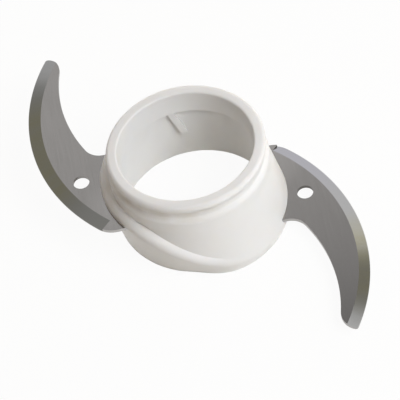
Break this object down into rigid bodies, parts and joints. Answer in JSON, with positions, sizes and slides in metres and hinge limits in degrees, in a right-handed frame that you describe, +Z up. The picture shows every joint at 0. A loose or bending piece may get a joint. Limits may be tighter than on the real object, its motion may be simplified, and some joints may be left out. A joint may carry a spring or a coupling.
{
  "type": "food processor blade",
  "caption": "Wide white moulded hub ring with curved stainless chopping blades set in its wall at different heights, for a food processor bowl.",
  "frame": {"origin": "middle of the hub's foot, on the axis of its bore", "axes": "+Z up the hub's axis towards the rim; upper blade on the -X side with its tip towards +Y; lower blade on the +X side with its tip towards -Y"},
  "size_m": [0.1114, 0.1444, 0.0364],
  "materials": {
    "hub_plastic": "satin moulded plastic, slightly warm white",
    "blade_steel": "fine-grained stainless sheet with a ground cutting bevel"
  },
  "bodies": {
    "root": {"hub": "hub_plastic", "upper_blade": "blade_steel", "lower_blade": "blade_steel"}
  },
  "joints": []
}
